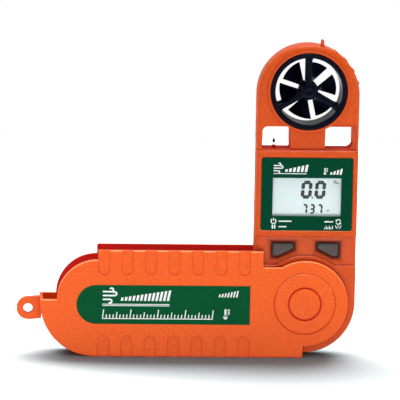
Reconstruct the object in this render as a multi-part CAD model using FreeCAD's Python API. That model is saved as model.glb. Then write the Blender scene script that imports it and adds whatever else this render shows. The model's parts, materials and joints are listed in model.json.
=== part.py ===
import FreeCAD, Part
import math
import os

# Handheld weather meter: a slim meter body with a vane wheel in its head, a thermistor in a window
# and a small display, which swings on a pivot out of a flat slotted case.
#
# Frame: millimetres, +Z up, +X to the right, +Y away from the display. The case stands on its long
# lower edge and the meter stands up at a right angle to it. The origin is under the middle of the
# object, on the standing face. Working coordinates below have the pivot axis at x = 0, z = 0.

# ---- driving dimensions ----
case_low = 23.3                 # standing face below the pivot axis
case_top = 22.3                 # upper edge of the case plates
case_end_x = -88.7              # centre of the rounded lower end
plate_inner = 6.9               # inner face of each case plate, from the mid-plane
plate_outer = 9.0
hub_outer = 9.25                # raised ring round the pivot
pivot_disc_r = 18.4
spine = 1.25                    # thickness of the wall that joins the plates
plate_round = 0.6
step_x = -87.8                  # where the upper edge steps down to the thumb notch
notch_z = 1.0
notch_x = -105.0
cutout_x = -17.85               # cut-out in front of the buttons
cutout_z = 15.5
lug_tip = 121.75                # reach of the lanyard lug from the pivot
lug_hole = (-117.0, -4.15)
lug_hole_r = 2.05
lug_half = 1.6                  # half the lug's thickness

meter_w = 21.5                  # half width of the meter, and the radius of both its ends
head_z = 88.4                   # centre of the rounded head
meter_half = 6.6                # half thickness at the display frame
head_face = 5.7                 # half thickness of head and button field
wall = 1.5
bay_top = 64.0                  # top of the electronics bay
bay_face = 4.3                  # front wall's inner face
bay_back = 5.1
frame_z = (28.5, 65.3)          # raised display frame
film_x, film_z = 19.25, (31.2, 62.2)
step_z = 16.2                   # lower edge of the button field
pivot_field_r = 20.4
nub_x, nub_top = 5.4, 112.1
vane_z = 90.3
vane_r = 16.3
vane_clear_r = 14.1             # bore of the ring at the front
vane_throat_r = 13.75           # and at the back
blade_tip_r = 12.05
blade_count = 6
blade_gap = 2.4
window_x = (7.3, 19.3)
window_z = (65.6, 75.4)
bead_x, bead_z = -14.0, 68.6    # thermistor bead in the left window
collar_r = 17.4
boss_x, boss_low, boss_high, boss_r = 18.1, 29.5, 60.8, 2.2
sleeve_r = 4.0
cell_z, cell_r, cell_front, cell_back = 44.0, 10.0, 1.6, 4.8
cover_r = 13.0
cover_turn = 45
fit = 0.05                      # running clearance of turning parts
gap = 0.2                       # clearance between pieces that slide or drop in

flute_count, flute_first, flute_pitch, flute_w = 7, -85.2, 9.9, 5.0
flute_ends = (11.9, -14.1)
flute_depth = 0.35

pivot_x = (lug_tip - meter_w) / 2
AXIS = FreeCAD.Vector(0, 1, 0)


# ---- plain shapes, drawn in the X-Z plane and given a depth along Y ----
def spot(x, z, y=0.0):
    return FreeCAD.Vector(x, y, z)


def polar(x, z, radius, degrees):
    turn = math.radians(degrees)
    return (x + radius * math.cos(turn), z + radius * math.sin(turn))


def outline(start, *steps):
    """Closed outline; a step is a point, or ('arc', point on the way, end point)."""
    edges = []
    here = start
    for step in steps:
        if step[0] == "arc":
            edges.append(Part.Arc(spot(*here), spot(*step[1]), spot(*step[2])).toShape())
            here = step[2]
        else:
            edges.append(Part.LineSegment(spot(*here), spot(*step)).toShape())
            here = step
    if math.dist(here, start) > 1e-6:
        edges.append(Part.LineSegment(spot(*here), spot(*start)).toShape())
    return Part.Face(Part.Wire(edges))


def slab(face, y_a, y_b):
    low, high = min(y_a, y_b), max(y_a, y_b)
    return face.translated(FreeCAD.Vector(0, low, 0)).extrude(FreeCAD.Vector(0, high - low, 0))


def disc(x, z, radius, y_a, y_b):
    low, high = min(y_a, y_b), max(y_a, y_b)
    return Part.makeCylinder(radius, high - low, spot(x, z, low), AXIS)


def ring(x, z, outer, inner, y_a, y_b):
    low, high = min(y_a, y_b), max(y_a, y_b)
    return disc(x, z, outer, low, high).cut(disc(x, z, inner, low - 1, high + 1))


def block(x_a, x_b, y_a, y_b, z_a, z_b):
    low = FreeCAD.Vector(min(x_a, x_b), min(y_a, y_b), min(z_a, z_b))
    return Part.makeBox(abs(x_b - x_a), abs(y_b - y_a), abs(z_b - z_a), low)


def rounded(x_a, x_b, z_a, z_b, radii):
    """Rectangle with a radius for each corner: lower left, lower right, upper right, upper left."""
    a, b, c, d = radii
    return outline(
        (x_a + a, z_a), (x_b - b, z_a), ("arc", polar(x_b - b, z_a + b, b, -45), (x_b, z_a + b)),
        (x_b, z_b - c), ("arc", polar(x_b - c, z_b - c, c, 45), (x_b - c, z_b)),
        (x_a + d, z_b), ("arc", polar(x_a + d, z_b - d, d, 135), (x_a, z_b - d)),
        (x_a, z_a + a), ("arc", polar(x_a + a, z_a + a, a, 225), (x_a + a, z_a)))


def fused(shapes):
    return shapes[0].multiFuse(shapes[1:]).removeSplitter()


def turned(shape, degrees, x=0.0, z=0.0):
    return shape.rotated(spot(x, z), AXIS, degrees)


def face_edges(shape, y):
    """Edges that lie in the plane at this depth."""
    return [e for e in shape.Edges if abs(e.BoundBox.YMin - y) < 1e-5 and abs(e.BoundBox.YMax - y) < 1e-5]


def upright_edges(shape, places):
    """Edges along Y that stand at these x, z places."""
    found = []
    for edge in shape.Edges:
        box = edge.BoundBox
        if box.YLength > 0.5 and box.XLength < 1e-5 and box.ZLength < 1e-5:
            if any(math.dist((box.XMin, box.ZMin), place) < 1e-3 for place in places):
                found.append(edge)
    return found


# ---- case ----
def case_outline():
    disc_start = (-math.sqrt(pivot_disc_r ** 2 - cutout_z ** 2), cutout_z)
    disc_end = polar(0, 0, pivot_disc_r, 269)
    notch_r = notch_x - step_x
    return outline(
        (-0.5, -case_low), (case_end_x, -case_low),
        ("arc", polar(case_end_x, 0, case_low, 225), (case_end_x - case_low, 0)),
        (case_end_x - case_low, notch_z), (notch_x, notch_z),
        ("arc", polar(step_x, notch_z, -notch_r, 137), (step_x, 18.2)),
        (step_x, case_top), (cutout_x, case_top), (cutout_x, cutout_z), disc_start,
        ("arc", polar(0, 0, pivot_disc_r, 20), disc_end))


def flute(x, end_z):
    """Shallow thumb flute that runs off the upper or lower edge of a plate."""
    edge = math.copysign(30, end_z)
    middle = end_z + math.copysign(flute_w / 2, end_z)
    return outline((x + flute_w / 2, middle), (x + flute_w / 2, edge), (x - flute_w / 2, edge),
                   (x - flute_w / 2, middle), ("arc", (x, end_z), (x + flute_w / 2, middle)))


def case_plate(side):
    """One side of the case; side is -1 at the display side and +1 at the back."""
    plate = slab(case_outline(), side * plate_inner, side * plate_outer)
    plate = plate.makeFillet(0.5, upright_edges(plate, [(step_x, case_top), (cutout_x, case_top)]))
    plate = plate.makeFillet(0.7, upright_edges(plate, [(-0.5, -case_low)]))
    plate = plate.makeFillet(plate_round, face_edges(plate, side * plate_outer))
    hub = disc(0, 0, 12.8, side * plate_inner, side * hub_outer)
    plate = plate.cut(ring(0, 0, 13.15, 12.6, side * (plate_outer - 0.3), side * 12))
    plate = fused([plate, hub.makeChamfer(0.15, face_edges(hub, side * hub_outer))])
    for number in range(flute_count):
        for end_z in flute_ends:
            shape = flute(flute_first + number * flute_pitch, end_z)
            plate = plate.cut(slab(shape, side * (plate_outer - flute_depth), side * 12))
    plate = plate.cut(disc(0, 0, 7.3, side * 8.4, side * 12))
    plate = plate.cut(disc(0, 0, 6.7, side * 7.8, side * 12))
    return plate.cut(disc(0, 0, 1.6, side * 5, side * 12))


def label_outline(inset=0.0):
    start_x, end_x, middle = -88.3, -23.2 - inset, -0.86
    radius = 8.37 - inset
    return outline((start_x, middle - radius), (end_x, middle - radius),
                   (end_x, middle + radius), (start_x, middle + radius),
                   ("arc", (start_x - radius, middle), (start_x, middle - radius)))


def case_front_cover():
    return case_plate(-1).cut(slab(label_outline(), -plate_outer + 0.2, -12))


def case_label():
    return slab(label_outline(0.05), -plate_outer + 0.2, -plate_outer + 0.02)


def lug():
    x, z = lug_hole
    tip_r = lug_tip + x
    root = case_end_x - case_low + spine / 2
    low = z - 4.3
    body = outline((root, low), (x, z - tip_r), ("arc", (-lug_tip, z), (x, z + tip_r)), (root, notch_z))
    ear = slab(body, -lug_half, lug_half)
    ear = ear.cut(disc(x, z, lug_hole_r, -9, 9))
    return ear


def case_rear_shell():
    """Back plate with the spine, the rounded end wall and the lanyard lug."""
    inner = case_low - spine
    walls = outline(
        (-1.6, -case_low), (case_end_x, -case_low),
        ("arc", polar(case_end_x, 0, case_low, 225), (case_end_x - case_low, 0)),
        (case_end_x - case_low, notch_z), (case_end_x - inner, notch_z), (case_end_x - inner, 0),
        ("arc", polar(case_end_x, 0, inner, 225), (case_end_x, -inner)), (-1.6, -inner))
    return fused([case_plate(1), slab(walls, -plate_inner, plate_inner + 1), lug()])


# ---- pivot ----
def pivot_sleeve():
    return ring(0, 0, sleeve_r, 1.6, -plate_inner, plate_inner)


def pivot_washer():
    return ring(0, 0, 7.4, sleeve_r + 0.15, -plate_inner + 0.05, -meter_half + 0.25)


def pivot_spring_washer():
    """Friction washer between meter and back plate, which holds the meter at any angle; drawn flat."""
    return ring(0, 0, 7.2, sleeve_r + 0.15, meter_half - 0.25, plate_inner - 0.05)


def pivot_screw():
    head = disc(0, 0, 2.7, -8.35, -7.8)
    shank = disc(0, 0, 1.45, -7.8, 8.3)
    slot = block(-2.4, 2.4, -9, -8.1, -0.3, 0.3)
    return fused([head, shank]).cut(fused([slot, turned(slot, 90)]))


def pivot_nut():
    corners = [polar(0, 0, 3.0, 60 * k) for k in range(6)]
    return slab(outline(*corners), 7.8, 8.35).cut(disc(0, 0, 1.47, 5, 12))


def pivot_cap(side):
    """Round cap in the hub's seat, with a shallow groove left round it."""
    cap = disc(0, 0, 6.62, side * 7.82, side * 9.2)
    cap = cap.makeFillet(0.35, face_edges(cap, side * 9.2))
    return cap.cut(disc(0, 0, 5.7, side * 5, side * 8.4))


# ---- meter housing ----
def stadium(inset, top=head_z):
    half = meter_w - inset
    return outline((-half, 0), ("arc", (0, -half), (half, 0)), (half, top),
                   ("arc", (0, top + half), (-half, top)), (-half, 0))


def bay_outline(inset):
    """Electronics bay: half round at the pivot and square at the top."""
    half = meter_w - inset
    top = bay_top + wall - inset
    return outline((-half, 0), ("arc", (0, -half), (half, 0)), (half, top), (-half, top))


def bosses(radius, y_a, y_b):
    places = [(-boss_x, boss_low), (boss_x, boss_low), (-boss_x, boss_high), (boss_x, boss_high), (0, -16.0)]
    return [disc(x, z, radius, y_a, y_b) for x, z in places]


def window(mirror, grow=0.0):
    """One of the two air windows; its upper inner corner follows the collar round the vane."""
    low, high = window_x[0] - grow, window_x[1] + grow
    radii = (0.3, 2.6 + grow, 0.9 + grow, 0.3) if mirror > 0 else (0.3, 0.6, 2.2 + grow, 1.0)
    shape = slab(rounded(low, high, window_z[0] - grow, window_z[1] + grow, radii), -12, 12)
    if mirror < 0:
        shape = shape.mirror(spot(0, 0), FreeCAD.Vector(1, 0, 0))
    return shape.cut(disc(0, vane_z, collar_r, -12, 12))


def grips():
    """Thumb nub at the top of the head and the low ridges down its right shoulder."""
    nub = outline((nub_x - 1.0, 107.0), (nub_x + 1.0, 107.0), (nub_x + 0.55, nub_top - 0.5),
                  ("arc", (nub_x, nub_top), (nub_x - 0.55, nub_top - 0.5)))
    pieces = [slab(nub, -4.4, -1.6)]
    for angle in (58, 44, 30, 15):
        ridge = Part.makeCylinder(0.8, 8.4, spot(meter_w - 0.4, head_z, -4.6), AXIS)
        pieces.append(turned(ridge, -angle, 0, head_z))
    return pieces


def meter_front_shell():
    base = slab(stadium(0), -head_face, 0)
    base = base.makeFillet(1.6, face_edges(base, -head_face))
    top = slab(stadium(0), -meter_half, -2.0)
    top = top.makeFillet(1.1, face_edges(top, -meter_half))
    frame = top.common(block(-30, 30, -9, 0, *frame_z))
    rims = [e for e in face_edges(frame, -meter_half) if e.BoundBox.XLength > 20]
    frame = frame.makeChamfer(0.45, rims)
    pivot_field = top.common(fused([block(-30, 30, -9, 0, -30, step_z), disc(0, 0, pivot_field_r, -9, 0)]))
    ledges = [e for e in face_edges(pivot_field, -meter_half) if e.BoundBox.ZMin > step_z - 0.01]
    pivot_field = pivot_field.makeChamfer(0.4, ledges)
    collar = ring(0, vane_z, collar_r, vane_r, -6.15, -3)
    collar = collar.makeFillet(0.3, face_edges(collar, -6.15))
    front_grips = [g.common(block(-40, 40, -9, 0, 0, 140)) for g in grips()]
    shell = fused([base, frame, pivot_field, collar] + front_grips)
    web = block(-window_x[0], window_x[0], -9, -5.0, frame_z[1], 76).cut(disc(0, vane_z, collar_r, -12, 12))
    shell = shell.cut(web)
    shell = shell.cut(window(1)).cut(window(-1))
    rim = window(1, 1.1).common(block(0, 30, -9, -5.2, frame_z[1], 90))
    shell = shell.cut(rim)
    bay = slab(bay_outline(wall), -bay_face, 1)
    shell = shell.cut(bay.cut(fused([disc(0, 0, 8.2, -9, 9)] + bosses(boss_r, -9, 9))))
    shell = shell.cut(disc(0, vane_z, vane_r + fit, -9, 9))
    shell = shell.cut(disc(0, 0, sleeve_r + fit, -9, 9)).cut(disc(0, 0, 7.7, -9, -meter_half + 0.3))
    for hole in bosses(1.0, -4.0, 1):
        shell = shell.cut(hole)
    shell = shell.cut(overlay_seat())
    shell = shell.cut(block(-17.2, 17.2, -9, -5.35, 34.9, 55.6))
    shell = shell.cut(block(-15.3, 15.3, -9, 0, 36.4, 54.1))
    for mirror in (-1, 1):
        shell = shell.cut(button_prism(mirror, gap, -9, 0))
        shell = shell.cut(button_dish(mirror))
    shell = shell.cut(seal_channel(-0.3, 1))
    return shell.cut(wire_paths())


def overlay_seat():
    """Shallow seat for the printed film, with a bevelled rim."""
    wires = []
    for grow, y in ((0.35, -meter_half - 0.05), (0.1, -meter_half + 0.25), (0.1, -meter_half + 0.3)):
        face = rounded(-film_x - grow, film_x + grow, film_z[0] - grow, film_z[1] + grow, (0.8 + grow,) * 4)
        wires.append(face.translated(spot(0, 0, y)).OuterWire)
    return Part.makeLoft(wires, True, True)


def seal_channel(y_a, y_b):
    return slab(bay_outline(0.45), y_a, y_b).cut(slab(bay_outline(1.05), -9, 9))


def wire_paths():
    """Passages from the thermistor and the speed sensor down into the bay."""
    boot = Part.makeCylinder(0.95, 3.2, spot(bead_x, 63.0, 0.5), FreeCAD.Vector(0, 0, 1))
    pocket = block(-2.3, 2.3, 0.8, 3.2, 70.3, 72.4)
    duct = block(-1.6, 1.6, 1.2, 2.8, 63.0, 71.0)
    return fused([boot, pocket, duct])


def meter_rear_shell():
    shell = slab(stadium(0), 0, meter_half)
    shell = shell.makeFillet(1.4, face_edges(shell, meter_half))
    shell = fused([shell] + [g.common(block(-40, 40, 0, 9, 0, 140)) for g in grips()])
    bay = slab(bay_outline(wall), -1, bay_back)
    keep = [disc(0, 0, 8.2, -9, 9), disc(0, cell_z, 12.2, 0.6, 9), disc(0, cell_z, 14.8, 3.2, 9)]
    keep += bosses(boss_r, -9, 9)
    shell = shell.cut(bay.cut(fused(keep)))
    shell = shell.cut(window(1)).cut(window(-1))
    shell = shell.cut(disc(0, vane_z, vane_r + fit, -9, 9))
    shell = shell.cut(disc(0, 0, sleeve_r + fit, -9, 9)).cut(disc(0, 0, 7.7, meter_half - 0.3, 9))
    shell = shell.cut(disc(0, cell_z, cell_r + 0.5, 0, 9))
    shell = shell.cut(disc(0, cell_z, cover_r + 0.2, 5.2, 9))
    shell = shell.cut(ring(0, cell_z, 12.75, 11.9, 4.6, 5.3))
    shell = shell.cut(ring(0, cell_z, 11.4, 10, 3.8, 4.7))
    for slot in cover_tabs(0.25, 4.5, 5.4):
        shell = shell.cut(turned(slot, cover_turn, 0, cell_z))
    for hole in bosses(1.05, -1, 6) + bosses(2.1, 4.7, 9):
        shell = shell.cut(hole)
    shell = shell.cut(seal_channel(-1, 0.3))
    return shell.cut(wire_paths())


def shell_gasket():
    return slab(bay_outline(0.5), -0.25, 0.25).cut(slab(bay_outline(1.0), -9, 9)).cut(wire_paths())


def shell_screws():
    screws = []
    slot = block(-1.4, 1.4, 6.0, 7, -0.25, 0.25)
    cross = fused([slot, turned(slot, 90)])
    heads = bosses(1.9, 4.75, 6.3)
    for head, shank in zip(heads, bosses(0.95, -3.6, 4.8)):
        place = head.CenterOfMass
        screws.append(fused([head, shank]).cut(cross.translated(spot(place.x, place.z))))
    return Part.makeCompound(screws)


# ---- display ----
def display_overlay():
    sheet = slab(rounded(-film_x, film_x, *film_z, (0.8,) * 4), -meter_half + 0.05, -meter_half + 0.3)
    return sheet.cut(block(-14.5, 14.5, -9, 0, 37.3, 53.6))


def display_lens():
    return block(-17.1, 17.1, -meter_half + 0.3, -5.4, 35.0, 55.5)


def lcd_panel():
    glass = block(-16.5, 16.5, -4.2, -3.2, 34.5, 56.0)
    return fused([glass, block(-16.5, 16.5, -3.2, -2.6, 36.0, 54.5)])


def lcd_connectors():
    return Part.makeCompound([block(-15.0, 15.0, -3.15, -0.85, z, z + 1.2) for z in (34.6, 54.7)])


def circuit_board():
    board = block(-19.2, 19.2, -0.8, 0.2, 19.2, 62.8)
    return board.cut(fused(bosses(2.6, -9, 9))).cut(disc(0, 0, 20.3, -9, 9))


def main_chip():
    return block(-3.5, 3.5, -2.3, -0.85, 41.0, 48.0)


def board_components():
    """Crystal, sounder and three small chips on the free parts of the board."""
    places = [(-14.0, -9.0, 58.0, 60.5), (9.5, 13.5, 57.0, 61.0),
              (-2.5, 2.5, 57.5, 60.0), (-12.0, -7.0, 29.5, 32.5)]
    return Part.makeCompound([block(a, b, -2.4, -0.85, c, d) for a, b, c, d in places])


# ---- buttons ----
def button_outline(mirror, grow):
    """Wedge-shaped cap: level top, upright outer side and a lower edge that rises inwards."""
    a, b = mirror * (5.1 - grow), mirror * (13.9 + grow)
    return outline((a, 25.6 + grow), (b, 25.6 + grow), (b, 19.9 - grow), (mirror * 11.7, 19.9 - grow),
                   (a, 23.3 - grow))


def button_prism(mirror, grow, y_a, y_b):
    prism = slab(button_outline(mirror, grow), y_a, y_b)
    upright = [e for e in prism.Edges if e.BoundBox.XLength < 1e-5 and e.BoundBox.ZLength < 1e-5]
    return prism.makeFillet(0.7, upright)


def button_dish(mirror):
    """Funnel-shaped hollow in the shell round a button, steeper towards the button."""
    wires = []
    for grow, depth in ((3.1, -0.02), (1.9, 0.15), (1.0, 0.45), (0.35, 1.0)):
        face = button_outline(mirror, grow)
        wires.append(face.translated(spot(0, 0, depth - head_face)).OuterWire)
    dish = Part.makeLoft(wires, True, True)
    field = block(mirror * 1.5, mirror * 17.6, -9, 0, step_z + 0.4, frame_z[0] - 0.2)
    return dish.common(field).cut(disc(0, 0, pivot_field_r + 0.4, -12, 0))


def button(mirror):
    cap = button_prism(mirror, 0.0, -5.8, -4.0)
    cap = cap.makeFillet(0.5, face_edges(cap, -5.8))
    flange = button_prism(mirror, 0.55, -4.2, -3.4)
    stem = disc(mirror * 10.5, 23.0, 1.5, -3.6, -1.95)
    return fused([cap, flange, stem])


def dome_switches():
    domes = []
    for x in (-10.5, 10.5):
        base = block(x - 2.5, x + 2.5, -1.3, -0.85, 20.6, 25.4)
        domes.append(fused([base, disc(x, 23.0, 1.6, -1.4, -1.2)]))
    return Part.makeCompound(domes)


# ---- battery ----
def battery():
    can = disc(0, cell_z, cell_r, cell_front + 0.5, cell_back)
    can = can.makeFillet(0.4, face_edges(can, cell_back))
    return fused([can, disc(0, cell_z, 8.9, cell_front, cell_back - 1)])


def battery_minus_contact():
    """Sprung leaf on the board under the cell."""
    foot = block(-2.0, 2.0, 0.25, 0.45, cell_z - 7.5, cell_z - 4.0)
    low, high = cell_z - 4.2, cell_z + 1
    side = [(0.25, low), (1.35, high), (1.55, high), (0.45, low), (0.25, low)]
    arm = Part.makePolygon([FreeCAD.Vector(-2, y, z) for y, z in side])
    return fused([foot, Part.Face(arm).extrude(FreeCAD.Vector(4, 0, 0))])


def battery_plus_contact():
    """Curved clip that touches the rim of the cell."""
    clip = ring(0, cell_z, 10.4, 10.1, 0.65, 3.6)
    return clip.common(block(-4, 4, 0, 9, cell_z, cell_z + 12))


def battery_seal():
    return Part.makeTorus(12.33, 0.38, spot(0, cell_z, 5.04), AXIS)


def cover_tabs(grow, y_a, y_b):
    """The two bayonet tabs, at the left and right of the cell."""
    tabs = []
    for x in (-1, 1):
        sector = block(x * 5, x * 12, y_a, y_b, cell_z - 2.4 - grow, cell_z + 2.4 + grow)
        tabs.append(sector.common(ring(0, cell_z, 11.2 + grow / 2, 10.0, y_a, y_b)))
    return tabs


def battery_cover():
    """Quarter-turn lid with a coin slot and two bayonet tabs."""
    lid = disc(0, cell_z, cover_r, 5.45, meter_half - 0.05)
    lid = lid.makeFillet(0.3, face_edges(lid, meter_half - 0.05))
    rim = ring(0, cell_z, 10.35, 10.05, 3.95, 5.6)
    tabs = cover_tabs(0.0, 3.95, 4.55)
    slot = slab(rounded(-6.5, 6.5, cell_z - 0.9, cell_z + 0.9, (0.85,) * 4), meter_half - 0.65, 9)
    return fused([lid, rim] + tabs).cut(slot)


# ---- vane ----
def spider(y_front, y_back, arm_w, hub_r, reach):
    """Hub, and three arms at the top, lower left and lower right."""
    arms = [disc(0, vane_z, hub_r, y_front, y_back)]
    for angle in (90, 210, 330):
        arm = block(0, reach, y_front + 0.2, y_back, vane_z - arm_w / 2, vane_z + arm_w / 2)
        arms.append(turned(arm, -angle, 0, vane_z))
    return arms


def vane_ring():
    body = disc(0, vane_z, vane_r, -6.5, meter_half - 0.2)
    body = body.makeFillet(0.6, face_edges(body, -6.5))
    body = body.cut(Part.makeCone(vane_clear_r, vane_throat_r, 13.5, spot(0, vane_z, -6.5), AXIS))
    body = body.makeFillet(0.5, face_edges(body, -6.5))
    body = body.cut(disc(0, vane_z, 15.1, 5.0, 9))
    body = fused([body] + spider(-5.7, -4.2, 2.1, 3.2, 14.7))
    return body.cut(disc(0, vane_z, 1.25, -5.2, -4))


def vane_rear_guard():
    rim = ring(0, vane_z, 15.0, vane_throat_r, 5.05, meter_half - 0.3)
    guard = fused([rim] + spider(4.85, 5.9, 1.8, 2.8, 14.0))
    return guard.cut(disc(0, vane_z, 1.25, 4.5, 5.4))


def vane_bearing(y_a, y_b):
    return ring(0, vane_z, 1.22, 0.55, y_a, y_b)


def blade_section(reach, half_depth):
    """Thin slanting strip across a blade, at this distance from the hub's axis."""
    half = reach * math.tan(math.pi / blade_count) - blade_gap / 2 / math.cos(math.pi / blade_count)
    length = math.hypot(half, half_depth)
    off_x, off_y = 0.3 * half_depth / length, 0.3 * half / length
    corners = [(-half - off_x, -half_depth + off_y), (-half + off_x, -half_depth - off_y),
               (half + off_x, half_depth - off_y), (half - off_x, half_depth + off_y)]
    points = [FreeCAD.Vector(x, y, vane_z + reach) for x, y in corners]
    return Part.makePolygon(points + points[:1])


def impeller():
    """Six twisted blades on a hub; the gaps between blades are nearly parallel."""
    blade = Part.makeLoft([blade_section(3.2, 2.6), blade_section(12.6, 2.9)], True, True)
    blade = blade.common(disc(0, vane_z, blade_tip_r, -5, 5))
    hub = disc(0, vane_z, 4.2, -3.0, 3.0)
    hub = hub.makeFillet(0.8, face_edges(hub, -3.0))
    blades = [turned(blade, 18 + 360 / blade_count * k, 0, vane_z) for k in range(blade_count)]
    return fused([hub] + blades).cut(disc(0, vane_z, 0.52, -9, 9))


def impeller_shaft():
    return disc(0, vane_z, 0.5, -5.1, 5.3)


def impeller_magnet():
    return ring(0, vane_z, 2.3, 0.52, 3.05, 4.0)


def speed_sensor():
    return block(-2.1, 2.1, 1.0, 2.9, 70.5, 72.2)


def sensor_leads():
    wires = [block(x - 0.2, x + 0.2, 1.8, 2.2, 61.0, 70.45) for x in (-1.1, 0.0, 1.1)]
    return Part.makeCompound(wires)


# ---- thermistor ----
def thermistor_bead():
    bead = Part.makeSphere(0.65, FreeCAD.Vector(0, 0, 0))
    stretch = FreeCAD.Matrix()
    stretch.scale(1, 1, 1.4)
    bead = bead.transformGeometry(stretch)
    return bead.translated(spot(bead_x, bead_z, 0.5))


def thermistor_leads():
    up = FreeCAD.Vector(0, 0, 1)
    height = bead_z - 61.0 - 0.6
    leads = [Part.makeCylinder(0.16, height, spot(bead_x + x, 61.0, 0.5), up) for x in (-0.4, 0.4)]
    return Part.makeCompound(leads).cut(thermistor_bead())


def thermistor_boot():
    up = FreeCAD.Vector(0, 0, 1)
    sill = window_z[0]
    cone = Part.makeCone(1.05, 0.7, 1.5, spot(bead_x, sill + 0.05, 0.5), up)
    plug = Part.makeCylinder(0.9, 2.3, spot(bead_x, sill - 2.2, 0.5), up)
    boot = fused([cone, plug])
    for x in (-0.4, 0.4):
        boot = boot.cut(Part.makeCylinder(0.18, 9, spot(bead_x + x, 60, 0.5), up))
    return boot


NODES = {
    "case_front_cover": case_front_cover(),
    "case_rear_shell": case_rear_shell(),
    "case_label": case_label(),
    "pivot_sleeve": pivot_sleeve(),
    "pivot_screw": pivot_screw(),
    "pivot_nut": pivot_nut(),
    "pivot_front_cap": pivot_cap(-1),
    "pivot_rear_cap": pivot_cap(1),
    "pivot_washer": pivot_washer(),
    "pivot_spring_washer": pivot_spring_washer(),
    "meter_front_shell": meter_front_shell(),
    "meter_rear_shell": meter_rear_shell(),
    "shell_gasket": shell_gasket(),
    "shell_screws": shell_screws(),
    "display_overlay": display_overlay(),
    "display_lens": display_lens(),
    "lcd_panel": lcd_panel(),
    "lcd_connectors": lcd_connectors(),
    "circuit_board": circuit_board(),
    "main_chip": main_chip(),
    "board_components": board_components(),
    "dome_switches": dome_switches(),
    "left_button": button(-1),
    "right_button": button(1),
    "battery": battery(),
    "battery_minus_contact": battery_minus_contact(),
    "battery_plus_contact": battery_plus_contact(),
    "battery_seal": battery_seal(),
    "battery_cover": battery_cover(),
    "vane_ring": vane_ring(),
    "vane_rear_guard": vane_rear_guard(),
    "vane_front_bearing": vane_bearing(-5.15, -4.25),
    "vane_rear_bearing": vane_bearing(4.5, 5.35),
    "impeller": impeller(),
    "impeller_shaft": impeller_shaft(),
    "impeller_magnet": impeller_magnet(),
    "speed_sensor": speed_sensor(),
    "sensor_leads": sensor_leads(),
    "thermistor_bead": thermistor_bead(),
    "thermistor_leads": thermistor_leads(),
    "thermistor_boot": thermistor_boot(),
}

os.makedirs("parts", exist_ok=True)
for name, shape in NODES.items():
    placed = shape.translated(FreeCAD.Vector(pivot_x, 0, case_low))
    if not placed.isValid():
        print("not valid:", name)
    print(name, "solids", len(placed.Solids), "volume", round(placed.Volume, 1))
    placed.exportStep("parts/" + name + ".step")
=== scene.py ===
import json
import math

import bmesh
import bpy
from mathutils import Matrix, Vector


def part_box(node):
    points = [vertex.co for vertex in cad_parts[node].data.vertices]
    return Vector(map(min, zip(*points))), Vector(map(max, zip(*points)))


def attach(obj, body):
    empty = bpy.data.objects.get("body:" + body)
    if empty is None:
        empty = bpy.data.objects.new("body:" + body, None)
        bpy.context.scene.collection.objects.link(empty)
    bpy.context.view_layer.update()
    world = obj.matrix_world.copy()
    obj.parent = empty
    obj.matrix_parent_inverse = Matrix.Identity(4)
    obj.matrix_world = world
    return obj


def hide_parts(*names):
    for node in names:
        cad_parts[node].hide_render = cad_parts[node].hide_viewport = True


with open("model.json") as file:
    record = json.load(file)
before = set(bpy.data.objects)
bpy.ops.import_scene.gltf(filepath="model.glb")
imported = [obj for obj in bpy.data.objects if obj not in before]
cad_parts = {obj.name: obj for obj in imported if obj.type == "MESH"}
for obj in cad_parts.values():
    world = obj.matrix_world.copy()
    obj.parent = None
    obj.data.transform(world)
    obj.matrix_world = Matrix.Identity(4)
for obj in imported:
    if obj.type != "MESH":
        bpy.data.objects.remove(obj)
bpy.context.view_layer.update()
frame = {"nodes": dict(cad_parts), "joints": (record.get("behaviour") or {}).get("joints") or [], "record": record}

# Looks of the folding weather meter. Metres; +X right, +Y away from the display, +Z up.
# Shapes are drawn in millimetres from the fold axis, with the mid-plane at y = 0, and placed by at().

MM = 0.001
JOINTS = {joint["name"]: joint for joint in frame["joints"]}
PIVOT = Vector(JOINTS["meter_fold"]["pos_m"])
SLOTS = {row["node"]: row["material_slot"] for row in frame["record"]["subparts"]}


def at(x, y, z):
    """Place in the frame of a point in millimetres from the fold axis."""
    return Vector((PIVOT.x + x * MM, y * MM, PIVOT.z + z * MM))


def local_box(node):
    """Lowest and highest corner of a CAD node, in millimetres from the fold axis."""
    corners = []
    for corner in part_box(node):
        corners.append(Vector((corner.x - PIVOT.x, corner.y, corner.z - PIVOT.z)) / MM)
    return corners


VANE_Z = (JOINTS["vane_spin"]["pos_m"][2] - PIVOT.z) / MM
LID_Z = (JOINTS["battery_lid_turn"]["pos_m"][2] - PIVOT.z) / MM


# ---- camera, light and floor ----
def add_camera():
    """Long lens, a little to the left and above, with the slight tilt of the picture."""
    azimuth, elevation, tilt = (math.radians(a) for a in (-3.341, 9.395, 1.098))
    target = Vector((PIVOT.x - 44.77 * MM, 0, PIVOT.z + 42.74 * MM))
    distance = 1.6098
    back = Vector((math.sin(azimuth) * math.cos(elevation), -math.cos(azimuth) * math.cos(elevation),
                   math.sin(elevation)))
    right = (-back).cross(Vector((0, 0, 1))).normalized()
    up = right.cross(-back)
    turned_right = math.cos(tilt) * right + math.sin(tilt) * up
    turned_up = math.cos(tilt) * up - math.sin(tilt) * right
    data = bpy.data.cameras.new("camera")
    data.sensor_width = 36.0
    data.lens = 342.3
    data.clip_end = 20.0
    camera = bpy.data.objects.new("camera", data)
    bpy.context.scene.collection.objects.link(camera)
    turn = Matrix((turned_right, turned_up, back)).transposed().to_4x4()
    camera.matrix_world = Matrix.Translation(target + back * distance) @ turn
    bpy.context.scene.camera = camera


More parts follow.
